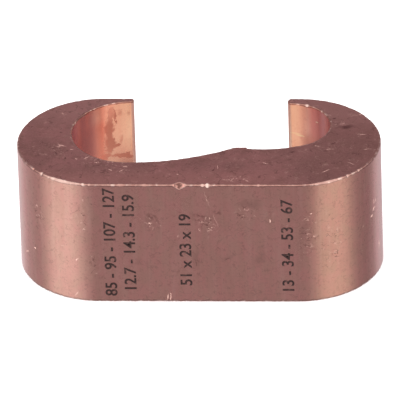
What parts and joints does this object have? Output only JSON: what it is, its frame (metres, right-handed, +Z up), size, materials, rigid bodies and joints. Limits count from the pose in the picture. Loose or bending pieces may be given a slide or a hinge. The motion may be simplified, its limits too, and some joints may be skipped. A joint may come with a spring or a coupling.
{
  "type": "grounding connector",
  "caption": "One-piece copper compression connector with an E-shaped section: a large groove for a ground rod or run conductor beside a small groove for a tap conductor.",
  "frame": {"origin": "centre of the lower cut face's bounding box, on the surface that the part stands on", "axes": "+X from the large run groove towards the small tap groove, +Y towards the mouth between the lips, +Z up along the extrusion"},
  "size_m": [0.0508, 0.0234, 0.0191],
  "materials": {
    "copper": "drawn copper, dull sawn ends, brighter groove walls"
  },
  "bodies": {
    "root": {"connector_body": "copper"}
  },
  "joints": []
}
